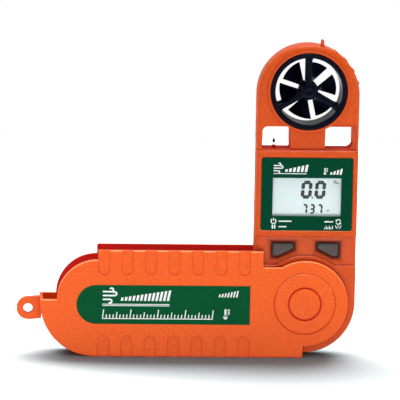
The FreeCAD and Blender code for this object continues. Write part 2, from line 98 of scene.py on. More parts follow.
def add_area(name, place, size, power, receivers, target=(0, 0, 0.06)):
    """Soft lamp aimed at the object, or at another target; receivers is the collection of what it lights."""
    data = bpy.data.lights.new(name, "AREA")
    data.shape = "RECTANGLE"
    data.size, data.size_y = size
    data.energy = power
    lamp = bpy.data.objects.new(name, data)
    lamp.light_linking.receiver_collection = receivers
    lamp.visible_camera = False
    lamp.location = place
    aim = Vector(target) - Vector(place)
    lamp.rotation_euler = aim.to_track_quat("-Z", "Y").to_euler()
    bpy.context.scene.collection.objects.link(lamp)
    return lamp


def add_room():
    """White backdrop for the camera, and a dim room, brighter above and behind, for the reflections."""
    world = bpy.data.worlds.new("studio")
    bpy.context.scene.world = world
    world.use_nodes = True
    nodes, links = world.node_tree.nodes, world.node_tree.links
    place = nodes.new("ShaderNodeTexCoord")
    parts = nodes.new("ShaderNodeSeparateXYZ")
    links.new(place.outputs["Generated"], parts.inputs["Vector"])
    behind = ranged(nodes, links, parts.outputs["Y"], 0.06, 0.25, -0.6, 0.5)
    above = ranged(nodes, links, parts.outputs["Z"], 0.0, 0.4, 0.15, 0.9)
    total = nodes.new("ShaderNodeMath")
    links.new(behind, total.inputs[0])
    links.new(above, total.inputs[1])
    room = nodes.new("ShaderNodeBackground")
    links.new(total.outputs[0], room.inputs["Strength"])
    backdrop = nodes["Background"]
    backdrop.inputs["Color"].default_value = (1, 1, 1, 1)
    backdrop.inputs["Strength"].default_value = 1.0
    path = nodes.new("ShaderNodeLightPath")
    chosen = nodes.new("ShaderNodeMixShader")
    links.new(path.outputs["Is Camera Ray"], chosen.inputs["Fac"])
    links.new(room.outputs[0], chosen.inputs[1])
    links.new(backdrop.outputs[0], chosen.inputs[2])
    links.new(chosen.outputs[0], nodes["World Output"].inputs["Surface"])


def add_floor():
    mesh = bpy.data.meshes.new("floor")
    side, near, far = 0.9, -0.9, 0.62
    corners = [(-side, near, 0), (side, near, 0), (side, far, 0), (-side, far, 0)]
    mesh.from_pydata(corners, [], [(0, 1, 2, 3)])
    floor = bpy.data.objects.new("floor", mesh)
    bpy.context.scene.collection.objects.link(floor)
    mesh.materials.append(floor_finish())
    return floor


def add_lamps(floor):
    """Lamps for the object alone, and others for the floor alone."""
    lit_floor = bpy.data.collections.new("lit_floor")
    lit_floor.objects.link(floor)
    lit_object = bpy.data.collections.new("lit_object")
    lit_object.objects.link(floor)
    lit_object.collection_objects[0].light_linking.link_state = "EXCLUDE"
    add_area("front", (0.25, -1.5, 0.35), (0.8, 0.5), 1.2, lit_object)
    add_area("right_side", (1.15, -0.35, 0.2), (0.35, 0.5), 4.5, lit_object)
    add_area("left_side", (-1.15, -0.3, 0.3), (0.35, 0.5), 3.7, lit_object)
    add_area("top", (0.1, -0.08, 1.2), (0.7, 0.4), 17.0, lit_object)
    add_area("backdrop", (0.0, 1.3, 0.35), (2.4, 1.2), 3.0, lit_object)
    # Light that the table throws back up: it comes from below the floor, which doesn't block it.
    table_glow = add_area("table_glow", (0.0, -0.35, -0.2), (0.6, 0.2), 1.25, lit_object)
    table_glow.light_linking.blocker_collection = lit_object
    add_area("floor_back", (0.0, 0.62, 0.95), (1.5, 0.8), 88.0, lit_floor)
    add_area("floor_front", (0.1, -0.9, 0.75), (1.0, 0.5), 4.0, lit_floor)
    add_area("floor_far", (0.0, -0.72, 0.3), (1.7, 0.45), 22.0, lit_floor, (0.0, -0.75, 0.0))


# ---- materials ----
def new_material(name):
    """Fresh material, with its nodes, links and shader."""
    material = bpy.data.materials.new(name)
    material.use_nodes = True
    nodes = material.node_tree.nodes
    return material, nodes, material.node_tree.links, nodes["Principled BSDF"]


def noise(nodes, links, scale, detail=3.0, stretch=(1, 1, 1)):
    """Noise in object space; scale is in features per metre."""
    place = nodes.new("ShaderNodeTexCoord")
    mapping = nodes.new("ShaderNodeMapping")
    mapping.inputs["Scale"].default_value = stretch
    texture = nodes.new("ShaderNodeTexNoise")
    texture.inputs["Scale"].default_value = scale
    texture.inputs["Detail"].default_value = detail
    links.new(place.outputs["Object"], mapping.inputs["Vector"])
    links.new(mapping.outputs["Vector"], texture.inputs["Vector"])
    return texture.outputs["Fac"]


def ranged(nodes, links, value, low, high, from_low=0.3, from_high=0.7):
    """Value stretched from one range to another; the first range suits noise, which stays near 0.5."""
    remap = nodes.new("ShaderNodeMapRange")
    remap.inputs["From Min"].default_value = from_low
    remap.inputs["From Max"].default_value = from_high
    remap.inputs["To Min"].default_value = low
    remap.inputs["To Max"].default_value = high
    links.new(value, remap.inputs["Value"])
    return remap.outputs["Result"]


# A Mix node has its colour sockets after those for numbers and vectors.
COLOUR_A, COLOUR_B, MIXED_COLOUR = 6, 7, 2


def mixed(nodes, links, fac, colour_a, colour_b):
    """Mix of two colours, each a plain colour or a node's output."""
    mix = nodes.new("ShaderNodeMix")
    mix.data_type = "RGBA"
    for index, colour in ((COLOUR_A, colour_a), (COLOUR_B, colour_b)):
        if isinstance(colour, tuple):
            mix.inputs[index].default_value = (*colour, 1)
        else:
            links.new(colour, mix.inputs[index])
    links.new(fac, mix.inputs["Factor"])
    return mix.outputs[MIXED_COLOUR]


def bumped(nodes, links, shader, height, strength, distance, edge=0):
    """Grain from a height; edge is the radius, in metres, to which sharp edges look worn."""
    bump = nodes.new("ShaderNodeBump")
    bump.inputs["Strength"].default_value = strength
    bump.inputs["Distance"].default_value = distance
    links.new(height, bump.inputs["Height"])
    if edge:
        worn = nodes.new("ShaderNodeBevel")
        worn.samples = 4
        worn.inputs["Radius"].default_value = edge
        links.new(worn.outputs["Normal"], bump.inputs["Normal"])
    links.new(bump.outputs["Normal"], shader.inputs["Normal"])


def openness(nodes, links, reach, low=0.35, high=0.9):
    """How open a spot is to its surroundings within a reach: 0 deep in a groove, 1 on an open face."""
    hollow = nodes.new("ShaderNodeAmbientOcclusion")
    hollow.samples = 8
    hollow.inputs["Distance"].default_value = reach
    return ranged(nodes, links, hollow.outputs["AO"], 0, 1, low, high)


SPECKLE_DARK = 0.78     # how much darker the specks in the plastic are
GRAIN_DEPTH = 0.00004
WORN_EDGE = 0.0003


def plastic(name, base, deep, rough=(0.34, 0.46), grain=2600, bump=0.12, shine=0.3, painted_crease_shade=None, reach=0.0016,
            painted_shade_depths=None):
    """Moulded plastic: faint colour drift, fine spark-eroded grain, and wider soft gloss patches.

    A painted shade colour darkens grooves and corners, standing in for the shade and the light that bounces
    from wall to wall there; such a plastic also has slightly worn edges. With the two shade depths along Y in
    metres, the painted shade also comes in between them.
    """
    material, nodes, links, shader = new_material(name)
    drift = ranged(nodes, links, noise(nodes, links, 45, 4), 0, 1)
    speckle = ranged(nodes, links, noise(nodes, links, 1000, 3), 0, 1, 0.35, 0.65)
    tone = mixed(nodes, links, drift, base, deep)
    mottled = mixed(nodes, links, speckle, tone, tuple(SPECKLE_DARK * part for part in base))
    # Painted shade: the shade colour goes into grooves and corners, where the surface is closed in.
    if painted_crease_shade:
        mottled = mixed(nodes, links, openness(nodes, links, reach), painted_crease_shade, mottled)
    # Painted shade: between the two depths the colour fades into the shade colour, which covers all that lies
    # deeper.
    if painted_shade_depths:
        place = nodes.new("ShaderNodeTexCoord")
        parts = nodes.new("ShaderNodeSeparateXYZ")
        links.new(place.outputs["Object"], parts.inputs["Vector"])
        depth = ranged(nodes, links, parts.outputs["Y"], 0, 1, *painted_shade_depths)
        mottled = mixed(nodes, links, depth, mottled, painted_crease_shade)
    links.new(mottled, shader.inputs["Base Color"])
    links.new(ranged(nodes, links, noise(nodes, links, 160, 3), *rough), shader.inputs["Roughness"])
    edge = WORN_EDGE if painted_crease_shade else 0
    bumped(nodes, links, shader, noise(nodes, links, grain, 2), bump, GRAIN_DEPTH, edge)
    shader.inputs["Specular IOR Level"].default_value = shine
    return material


def floor_finish():
    """White paper, with a painted soft contact shadow that makes it darker near the object."""
    material, nodes, links, shader = new_material("paper_sweep")
    tone = ranged(nodes, links, noise(nodes, links, 6, 2), 0, 1)
    paper = mixed(nodes, links, tone, (0.26, 0.275, 0.28), (0.27, 0.285, 0.29))
    # Painted contact shadow: the floor darkens to this colour where the object closes it in.
    near = openness(nodes, links, 0.10, 0.4, 0.97)
    links.new(mixed(nodes, links, near, (0.062, 0.088, 0.093), paper), shader.inputs["Base Color"])
    shader.inputs["Roughness"].default_value = 0.9
    return material


def clear_finish():
    """Clear window that hardly shows, so it is nearly transparent."""
    material, nodes, links, shader = new_material("lens")
    tint = ranged(nodes, links, noise(nodes, links, 60, 2), 0, 1)
    links.new(mixed(nodes, links, tint, (0.93, 0.96, 0.96), (0.96, 0.98, 0.98)), shader.inputs["Base Color"])
    shader.inputs["Roughness"].default_value = 0.12
    shader.inputs["Alpha"].default_value = 0.03
    return material


def lcd_finish():
    """Reflective panel: pale grey-green with a fine pixel-like grain and a soft vertical drift."""
    material, nodes, links, shader = new_material("lcd")
    drift = ranged(nodes, links, noise(nodes, links, 30, 2), 0, 1)
    ground = mixed(nodes, links, drift, (0.53, 0.63, 0.625), (0.60, 0.685, 0.68))
    links.new(ground, shader.inputs["Base Color"])
    shader.inputs["Roughness"].default_value = 0.4
    bumped(nodes, links, shader, noise(nodes, links, 6000, 1), 0.05, 0.00001)
    return material


def metal(name, base, deep, rough=(0.25, 0.4), stretch=(1, 1, 12)):
    """Plated metal with fine streaks."""
    material, nodes, links, shader = new_material(name)
    streaks = noise(nodes, links, 900, 3, stretch)
    tone = mixed(nodes, links, ranged(nodes, links, streaks, 0, 1), base, deep)
    links.new(tone, shader.inputs["Base Color"])
    links.new(ranged(nodes, links, streaks, *rough), shader.inputs["Roughness"])
    shader.inputs["Metallic"].default_value = 1.0
    bumped(nodes, links, shader, streaks, 0.1, 0.00002)
    return material


# Colours in linear light: the main one, and the one that it drifts towards.
PLASTICS = {
    # Painted shade: the crease colours below are painted into grooves and corners.
    "case_orange": dict(base=(0.82, 0.100, 0.004), deep=(0.75, 0.085, 0.003), shine=0.2,
                        painted_crease_shade=(0.70, 0.03, 0.006)),
    # Painted shade: a redder copy of the case orange for the walls inside the slot.
    "case_slot_painted_shade": dict(base=(0.86, 0.028, 0.022), deep=(0.80, 0.022, 0.018), shine=0.05),
    "meter_orange": dict(base=(0.60, 0.070, 0.005), deep=(0.55, 0.060, 0.004), shine=0.16,
                         painted_crease_shade=(0.34, 0.015, 0.004)),
    # Painted light: a lighter copy of the meter orange for the window walls and the straight sides.
    "meter_painted_light": dict(base=(0.80, 0.095, 0.022), deep=(0.74, 0.085, 0.020), rough=(0.6, 0.7), shine=0.06),
    # Painted highlight: a lighter orange for rims that face the light from above.
    "painted_highlight_rim": dict(base=(0.92, 0.30, 0.10), deep=(0.88, 0.27, 0.09), shine=0.3),
    # Painted shade round the keys: a very dark shade colour, reaching 3 mm, that also fills the sunken dish.
    "key_field_painted_shade": dict(base=(0.60, 0.070, 0.007), deep=(0.55, 0.060, 0.005), shine=0.22,
                      painted_crease_shade=(0.13, 0.013, 0.004), reach=0.003, painted_shade_depths=(-0.00572, -0.00505)),
    "printed_green": dict(base=(0.0003, 0.050, 0.023), deep=(0.0004, 0.044, 0.020), rough=(0.28, 0.36),
                          grain=4000, bump=0.05, shine=0.02),
    "label_green": dict(base=(0.0006, 0.076, 0.024), deep=(0.0008, 0.070, 0.022), rough=(0.28, 0.36),
                        grain=4000, bump=0.05, shine=0.03),
    "vane_black": dict(base=(0.003, 0.003, 0.009), deep=(0.005, 0.004, 0.012), rough=(0.2, 0.3),
                       grain=2400, bump=0.06, shine=0.04),
    "key_grey": dict(base=(0.072, 0.058, 0.054), deep=(0.057, 0.047, 0.044), rough=(0.5, 0.62),
                     grain=3200, bump=0.2, shine=0.25),
    "jewel": dict(base=(0.45, 0.02, 0.06), deep=(0.5, 0.03, 0.08), rough=(0.1, 0.15), grain=3000, bump=0.02),
    "board_green": dict(base=(0.01, 0.11, 0.035), deep=(0.012, 0.14, 0.04), rough=(0.3, 0.4),
                        grain=3000, bump=0.1),
    "chip_black": dict(base=(0.018, 0.018, 0.018), deep=(0.026, 0.026, 0.026), rough=(0.5, 0.6),
                       grain=3000, bump=0.2),
    "seal_rubber": dict(base=(0.02, 0.02, 0.02), deep=(0.03, 0.03, 0.03), rough=(0.6, 0.7),
                        grain=3000, bump=0.2),
    "washer_nylon": dict(base=(0.68, 0.68, 0.64), deep=(0.62, 0.62, 0.58)),
    "print_white": dict(base=(0.82, 0.84, 0.83), deep=(0.76, 0.79, 0.78), rough=(0.4, 0.5),
                        grain=4000, bump=0.05),
    "sensor_black": dict(base=(0.008, 0.010, 0.014), deep=(0.014, 0.016, 0.02), rough=(0.12, 0.2),
                         grain=2000, bump=0.04),
    "lcd_ink": dict(base=(0.004, 0.005, 0.010), deep=(0.006, 0.007, 0.012), rough=(0.35, 0.45),
                    grain=4000, bump=0.02, shine=0.0),
}
METALS = {
    "steel": dict(base=(0.62, 0.62, 0.63), deep=(0.5, 0.5, 0.52)),
    "spring_metal": dict(base=(0.78, 0.6, 0.32), deep=(0.66, 0.5, 0.26)),
    "magnet_black": dict(base=(0.16, 0.16, 0.17), deep=(0.1, 0.1, 0.11), rough=(0.5, 0.6)),
}


def make_finishes():
    """Every finish by name; the record's material slots are among them."""
    made = {name: plastic(name, **look) for name, look in PLASTICS.items()}
    for name, look in METALS.items():
        made[name] = metal(name, **look)
    made["clear_lens"] = clear_finish()
    made["lcd_glass"] = lcd_finish()
    return made


# ---- mesh building ----
def polar(radius, degrees, x=0.0, z=0.0):
    """Point x, z at an angle round a centre."""
    turn = math.radians(degrees)
    return (x + radius * math.cos(turn), z + radius * math.sin(turn))


def level_ring(x, y, z, radius, steps):
    """Circle of points at one height."""
    turns = [2 * math.pi * k / steps for k in range(steps)]
    return [(x + radius * math.cos(turn), y + radius * math.sin(turn), z) for turn in turns]


def skin(mesh, rings, close=True, caps=True):
    """Joins rings of points with faces; each point is x, y, z in millimetres from the fold axis."""
    rows = [[mesh.verts.new(at(*point)) for point in ring] for ring in rings]
    count = len(rows[0])
    pairs = list(zip(rows, rows[1:]))
    if not caps:
        pairs.append((rows[-1], rows[0]))
    for low, high in pairs:
        for k in range(count if close else count - 1):
            mesh.faces.new((low[k], low[(k + 1) % count], high[(k + 1) % count], high[k]))
    if caps and close:
        mesh.faces.new(rows[0][::-1])
        mesh.faces.new(rows[-1])


def lathe(mesh, profile, x=0.0, z=0.0, steps=96):
    """Closed profile of (radius, y) turned about an axis along Y; a zero radius closes the end."""
    loops = []
    for k in range(steps):
        turn = 2 * math.pi * k / steps
        loops.append([(x + r * math.cos(turn), y, z + r * math.sin(turn)) for r, y in profile])
    rows = [[mesh.verts.new(at(*point)) for point in loop] for loop in loops]
    span = len(profile)
    for k in range(steps):
        here, there = rows[k], rows[(k + 1) % steps]
        for n in range(span):
            mesh.faces.new((here[n], there[n], there[(n + 1) % span], here[(n + 1) % span]))
    bmesh.ops.remove_doubles(mesh, verts=mesh.verts, dist=1e-7)


def stack(mesh, levels):
    """Closed solid from outlines at given depths; a level is (y, list of x, z points)."""
    skin(mesh, [[(x, y, z) for x, z in points] for y, points in levels])


def arc(x, z, radius, start, end, steps=8):
    """Points along an arc, with its ends in degrees."""
    return [polar(radius, start + (end - start) * k / steps, x, z) for k in range(steps + 1)]


def rounded_corners(corners, radius, steps=6):
    """Outline with each corner of a polygon rounded."""
    points = []
    count = len(corners)
    for k in range(count):
        before, here, after = Vector(corners[k - 1]), Vector(corners[k]), Vector(corners[(k + 1) % count])
        into, out = (before - here).normalized(), (after - here).normalized()
        half = into.angle(out) / 2
        middle = here + (into + out).normalized() * (radius / math.sin(half))
        start, end = here + into * (radius / math.tan(half)), here + out * (radius / math.tan(half))
        first = math.atan2(start.y - middle.y, start.x - middle.x)
        sweep = math.atan2(end.y - middle.y, end.x - middle.x) - first
        sweep = (sweep + math.pi) % (2 * math.pi) - math.pi
        for n in range(steps + 1):
            turn = first + sweep * n / steps
            points.append((middle.x + radius * math.cos(turn), middle.y + radius * math.sin(turn)))
    return points


def shrunk(points, inset):
    """Outline moved inwards along its own normals."""
    area = sum(a[0] * b[1] - b[0] * a[1] for a, b in zip(points, points[1:] + points[:1]))
    side = math.copysign(inset, area)
    moved = []
    for k in range(len(points)):
        before, after = Vector(points[k - 1]), Vector(points[(k + 1) % len(points)])
        along = (after - before).normalized()
        moved.append((points[k][0] - along.y * side, points[k][1] + along.x * side))
    return moved


def add_piece(name, mesh, body, finish, *replaced, angle=35.0):
    """Turns a bmesh into a smooth-shaded piece that rides on a body."""
    bmesh.ops.recalc_face_normals(mesh, faces=mesh.faces)
    data = bpy.data.meshes.new(name)
    mesh.to_mesh(data)
    mesh.free()
    for face in data.polygons:
        face.use_smooth = True
    data.set_sharp_from_angle(angle=math.radians(angle))
    data.materials.append(FINISH[finish])
    piece = bpy.data.objects.new(name, data)
    bpy.context.scene.collection.objects.link(piece)
    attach(piece, body)
    if replaced:
        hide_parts(*replaced)
    return piece


def carve(piece, tool_mesh):
    """Cuts a hollow into a piece with another closed mesh."""
    bmesh.ops.recalc_face_normals(tool_mesh, faces=tool_mesh.faces)
    data = bpy.data.meshes.new("tool")
    tool_mesh.to_mesh(data)
    tool_mesh.free()
    tool = bpy.data.objects.new("tool", data)
    bpy.context.scene.collection.objects.link(tool)
    cut = piece.modifiers.new("cut", "BOOLEAN")
    cut.operation = "DIFFERENCE"
    cut.object = tool
    bpy.context.view_layer.update()
    shape = piece.evaluated_get(bpy.context.evaluated_depsgraph_get())
    made = bpy.data.meshes.new_from_object(shape)
    piece.modifiers.clear()
    old = piece.data
    piece.data = made
    bpy.data.meshes.remove(old)
    bpy.data.objects.remove(tool)
    made.set_sharp_from_angle(angle=math.radians(35))


# ---- vane ----
HUB_R = 4.2
TIP_R = 12.05
BLADES = 6
GUARD_ARMS = (90, 210, 330)     # degrees round the wheel, from the right


def blade(mesh, degrees):
    """Twisted blade with rounded edges; its left edge, seen from the front, is the leading one."""
    rings = []
    reach = TIP_R - HUB_R + 0.6
    for step in range(13):
        part = step / 12
        radius = HUB_R - 0.6 + reach * part
        half = math.radians(30) - math.asin(1.2 / radius)
        depth = 2.45 + 0.35 * part
        thick = (0.42 - 0.14 * part) * (0.45 if step == 12 else 1.0)
        length = math.hypot(half * radius, depth)
        ring = []
        for k in range(28):
            turn = 2 * math.pi * k / 28
            along = math.copysign(abs(math.cos(turn)) ** 0.8, math.cos(turn))
            across = thick * math.copysign(abs(math.sin(turn)) ** 0.6, math.sin(turn))
            sweep = along * half * radius - across * depth / length
            y = along * depth + across * half * radius / length + 0.35 * (1 - along * along)
            x, z = polar(radius, degrees - math.degrees(sweep / radius), 0, VANE_Z)
            ring.append((x, y, z))
        rings.append(ring)
    skin(mesh, rings)


def add_impeller():
    mesh = bmesh.new()
    for number in range(BLADES):
        blade(mesh, 72 + 360 / BLADES * number)
    hub = [(0, -3.0), (1.6, -3.0), (2.0, -2.8), (2.6, -2.95), (3.3, -2.85), (3.85, -2.5), (4.15, -1.95),
           (HUB_R, -1.2), (HUB_R, 2.1), (4.0, 2.6), (3.5, 2.85), (0, 2.95)]
    lathe(mesh, hub, 0, VANE_Z)
    add_piece("impeller_wheel", mesh, "rotor", "vane_black", "impeller")


def spoke(mesh, degrees, y_front, y_back, width, inner, outer):
    """Arm with a rounded front that flares where it meets the ring."""
    rings = []
    turn = math.radians(degrees)
    flares = [(0, 1.15), (0.12, 1.0), (0.5, 1.0), (0.86, 1.0), (0.93, 1.12), (0.97, 1.35), (1, 1.8)]
    for part, flare in flares:
        reach = inner + (outer - inner) * part
        half = width / 2 * flare
        left = [(-half, y_back), (-half, y_front + 0.55), (-half + 0.18, y_front + 0.2),
                (-half + 0.5, y_front)]
        section = left + [(-side, y) for side, y in left[::-1]]
        ring = []
        for side, y in section:
            x = reach * math.cos(turn) - side * math.sin(turn)
            z = reach * math.sin(turn) + side * math.cos(turn)
            ring.append((x, y, z + VANE_Z))
        rings.append(ring)
    skin(mesh, rings)


def add_vane_ring():
    mesh = bmesh.new()
    profile = [(16.3, 6.3), (16.3, -5.75)]
    profile += [(r, -y) for r, y in arc(15.55, 5.75, 0.65, 0, 90, 6)]
    profile += [(15.35, -6.4), (15.1, -6.28), (14.85, -6.3)]
    profile += [(r, -y) for r, y in arc(14.75, 5.7, 0.6, 90, 180, 6)]
    profile += [(14.12, -4.6), (13.8, 4.9), (15.1, 5.0), (15.1, 6.1), (15.3, 6.3)]
    lathe(mesh, profile, 0, VANE_Z, 144)
    for degrees in GUARD_ARMS:
        spoke(mesh, degrees, -5.7, -4.25, 2.25, 2.2, 14.25)
    hub = [(0, -5.85), (1.0, -5.85), (1.25, -6.0), (1.7, -6.0), (2.6, -5.85), (3.1, -5.55), (3.35, -5.1),
           (3.4, -4.3), (3.1, -4.1), (1.25, -4.1), (1.25, -5.2), (0, -5.2)]
    lathe(mesh, hub, 0, VANE_Z)
    add_piece("vane_housing", mesh, "meter", "vane_black", "vane_ring")


def add_rear_guard():
    mesh = bmesh.new()
    profile = [(15.0, 5.1), (15.0, 5.9), (14.8, 6.15), (14.2, 6.15), (13.95, 5.95), (13.8, 5.6), (13.8, 5.1)]
    lathe(mesh, profile, 0, VANE_Z, 144)
    for degrees in GUARD_ARMS:
        spoke(mesh, degrees, 5.95, 4.9, 1.9, 1.8, 14.2)
    hub = [(0, 6.05), (1.6, 6.05), (2.4, 5.9), (2.75, 5.5), (2.8, 5.0), (2.6, 4.85), (1.25, 4.85),
           (1.25, 5.4), (0, 5.4)]
    lathe(mesh, hub, 0, VANE_Z)
    add_piece("rear_guard", mesh, "meter", "vane_black", "vane_rear_guard")


# ---- thermistor ----
def tube(mesh, path, radius, steps=14):
    """Round wire along points; the wire runs roughly upwards."""
    skin(mesh, [level_ring(x, y, z, radius, steps) for x, y, z in path])


def add_thermistor():
    low, high = local_box("thermistor_bead")
    x, y = (low.x + high.x) / 2, (low.y + high.y) / 2
    mesh = bmesh.new()
    rings = []
    for step in range(15):
        part = step / 14
        radius = 0.62 * math.sin(math.pi * part ** 1.35) ** 0.7 + 0.04
        rings.append(level_ring(x, y, high.z - (high.z - low.z) * part, radius, 28))
    skin(mesh, rings)
    add_piece("thermistor_drop", mesh, "meter", "sensor_black", "thermistor_bead")
    mesh = bmesh.new()
    base = local_box("thermistor_leads")[0].z
    for side in (-1, 1):
        path = []
        for step in range(17):
            part = step / 16
            bow = 0.4 if part < 0.6 else 0.4 - 0.22 * ((part - 0.6) / 0.4) ** 2
            path.append((x + side * bow, y, base + (low.z + 0.25 - base) * part))
        tube(mesh, path, 0.17)
    add_piece("thermistor_wires", mesh, "meter", "steel", "thermistor_leads")
    mesh = bmesh.new()
    foot = local_box("thermistor_boot")
    top, bottom = foot[1].z, foot[0].z
    profile = [(0.88, bottom), (0.88, top - 1.48), (1.12, top - 1.48), (1.1, top - 1.3), (0.95, top - 1.0),
               (0.8, top - 0.65), (0.7, top - 0.5), (0.5, top - 0.42)]
    skin(mesh, [level_ring(x, y, z, radius, 40) for radius, z in profile])
    add_piece("thermistor_gland", mesh, "meter", "case_orange", "thermistor_boot")


# ---- buttons ----
def add_button(name, mirror):
    """Soft-touch wedge with rounded corners and a slightly crowned face."""
    corners = [(5.1, 25.6), (13.9, 25.6), (13.9, 19.9), (11.7, 19.9), (5.1, 23.3)]
    outline = rounded_corners([(mirror * x, z) for x, z in corners], 1.2, 8)
    foot = [(4.6, 26.1), (14.4, 26.1), (14.4, 19.4), (11.6, 19.4), (4.6, 22.9)]
    flange = rounded_corners([(mirror * x, z) for x, z in foot], 1.1, 8)
    levels = [(-3.5, flange), (-4.15, flange), (-4.16, outline), (-5.15, outline)]
    for depth, inset in ((-5.32, 0.06), (-5.5, 0.2), (-5.62, 0.42), (-5.71, 0.7), (-5.78, 1.05)):
        levels.append((depth, shrunk(outline, inset)))
    mesh = bmesh.new()
    stack(mesh, levels)
    plunger = [polar(1.5, 360 * k / 32, mirror * 10.5, 23.0) for k in range(32)]
    stack(mesh, [(-1.95, plunger), (-3.6, plunger)])
    add_piece(name + "_cap", mesh, "left_key" if mirror < 0 else "right_key", "key_grey", name)


# ---- display ----
def segment(mesh, start, end, width, lean, y):
    """Segment of a digit: a bar with pointed ends."""
    along = (Vector(end) - Vector(start)).normalized()
    side = Vector((-along.y, along.x)) * width / 2
    inner, outer = Vector(start) + along * width * 0.3, Vector(end) - along * width * 0.3
    corners = [Vector(start), inner + side, outer + side, Vector(end), outer - side, inner - side]
    points = [(p.x + lean * (p.y - LCD_FOOT), p.y) for p in corners]
    stack(mesh, [(y, points), (y + 0.02, points)])


LCD_FOOT = 45.0
DIGIT_SEGMENTS = {"0": "abcdef", "3": "abcdg", "7": "abc"}


def digit(mesh, figure, x, z, width, height, thick, y):
    """Seven-segment figure with its lower left corner at x, z."""
    gap = thick * 0.06
    left, right, low, high = x + thick / 2, x + width - thick / 2, z + thick / 2, z + height - thick / 2
    middle = (low + high) / 2
    ends = {"a": ((left, high), (right, high)), "b": ((right, high), (right, middle)),
            "c": ((right, middle), (right, low)), "d": ((left, low), (right, low)),
            "e": ((left, middle), (left, low)), "f": ((left, high), (left, middle)),
            "g": ((left, middle), (right, middle))}
    for key in DIGIT_SEGMENTS[figure]:
        start, end = Vector(ends[key][0]), Vector(ends[key][1])
        short = (end - start).normalized() * gap
        segment(mesh, start + short, end - short, thick, 0.07, y)


def bar(mesh, x_a, x_b, z_a, z_b, y, lean=0.0, depth=0.02):
    """Thin printed bar, upright or leaning."""
    shift = lean * (z_b - z_a)
    points = [(x_a, z_a), (x_b, z_a), (x_b + shift, z_b), (x_a + shift, z_b)]
    stack(mesh, [(y, points), (y + depth, points)])


def stroke(mesh, points, width, y, depth=0.02):
    """Thin printed line along points."""
    left, right = [], []
    for k, point in enumerate(points):
        before, after = Vector(points[max(k - 1, 0)]), Vector(points[min(k + 1, len(points) - 1)])
        along = (after - before).normalized()
        side = Vector((-along.y, along.x)) * width / 2
        left.append(tuple(Vector(point) + side))
        right.append(tuple(Vector(point) - side))
    rows = [left, right]
    front = [[mesh.verts.new(at(x, y, z)) for x, z in row] for row in rows]
    back = [[mesh.verts.new(at(x, y + depth, z)) for x, z in row] for row in rows]
    for k in range(len(points) - 1):
        for a, b in ((front[0], front[1]), (front[1], back[1]), (back[1], back[0]), (back[0], front[0])):
            mesh.faces.new((a[k], a[k + 1], b[k + 1], b[k]))
    for k in (0, -1):
        mesh.faces.new((front[0][k], front[1][k], back[1][k], back[0][k]))


def dot(mesh, x, z, radius, y, depth=0.02):
    """Round printed spot."""
    points = [polar(radius, 360 * k / 28, x, z) for k in range(28)]
    stack(mesh, [(y, points), (y + depth, points)])


def add_lcd_figures():
    """Polariser close behind the window, with the speed above and the temperature below."""
    back, front = local_box("display_lens")[1].y, local_box("lcd_panel")[0].y
    film = rounded_corners([(-15.1, 36.6), (15.1, 36.6), (15.1, 53.9), (-15.1, 53.9)], 0.2, 3)
    mesh = bmesh.new()
    stack(mesh, [(back + 0.12, shrunk(film, 0.05)), (back + 0.17, film), (front - 0.02, film)])
    add_piece("lcd_polariser", mesh, "meter", "lcd_glass")
    mesh = bmesh.new()
    y = back + 0.09
    for figure, x in (("0", -2.6), ("0", 3.2)):
        digit(mesh, figure, x, 44.6, 4.6, 7.75, 1.5, y)
    bar(mesh, 2.05, 2.75, 44.75, 45.4, y)
    for figure, x in (("7", -1.5), ("3", 1.65), ("7", 4.9)):
        digit(mesh, figure, x, 38.05, 2.3, 4.3, 0.8, y)
    bar(mesh, 4.15, 4.5, 38.1, 38.45, y)
    ring = [polar(0.32, 360 * k / 20, 9.2, 39.6) for k in range(21)]
    stroke(mesh, ring, 0.22, y)
    for k in range(3):
        stroke(mesh, wave(11.2, 51.3 + 0.5 * k, 2.4 - 0.5 * k, 0.16), 0.22, y)
    add_piece("lcd_figures", mesh, "meter", "lcd_ink")


def wave(x, z, length, height, turns=1.0, steps=16):
    """Wavy line of points."""
    return [(x + length * k / steps, z + height * math.sin(2 * math.pi * turns * k / steps))
            for k in range(steps + 1)]


# ---- printed marks ----
def wind_sign(mesh, x, z, size, y):
    """Three gusts, each curling up at its end."""
    weight = size * 0.15
    for row, length in ((0.86, 0.8), (0.5, 1.1), (0.14, 0.66)):
        line = [(x + size * length * k / 6, z + size * row) for k in range(6)]
        end_x = x + size * length
        curl = 0.17 * size
        if row > 0.3:
            line += arc(end_x, z + size * row + curl, curl, -90, 150, 10)
        else:
            line += arc(end_x, z + size * row - curl, curl, 90, -130, 10)
        stroke(mesh, line, weight, y)


def thermometer_sign(mesh, x, z, size, y):
    """Bulb, stem and three scale ticks."""
    dot(mesh, x, z + size * 0.2, size * 0.2, y)
    bar(mesh, x - size * 0.09, x + size * 0.09, z + size * 0.2, z + size, y)
    for part in (0.52, 0.72, 0.92):
        bar(mesh, x + size * 0.2, x + size * 0.42, z + size * (part - 0.05), z + size * (part + 0.05), y)


def power_sign(mesh, x, z, size, y):
    """Open circle with a bar in its gap."""
    stroke(mesh, arc(x, z, size * 0.42, 125, 415, 24), size * 0.16, y)
    bar(mesh, x - size * 0.08, x + size * 0.08, z + size * 0.05, z + size * 0.55, y)


def cycle_sign(mesh, x, z, size, y):
    """Two arrows chasing each other round a circle."""
    for start in (20, 200):
        stroke(mesh, arc(x, z, size * 0.4, start, start + 120, 12), size * 0.15, y)
        tip = polar(size * 0.4, start + 158, x, z)
        inner, outer = polar(size * 0.18, start + 118, x, z), polar(size * 0.64, start + 118, x, z)
        stack(mesh, [(y, [inner, outer, tip]), (y + 0.02, [inner, outer, tip])])


def gauge_bars(mesh, x, z, count, pitch, width, low, high, y, lean=0.2):
    """Row of leaning bars that grow from low to high."""
    for k in range(count):
        tall = low + (high - low) * k / (count - 1)
        bar(mesh, x + pitch * k, x + pitch * k + width, z, z + tall, y, lean)


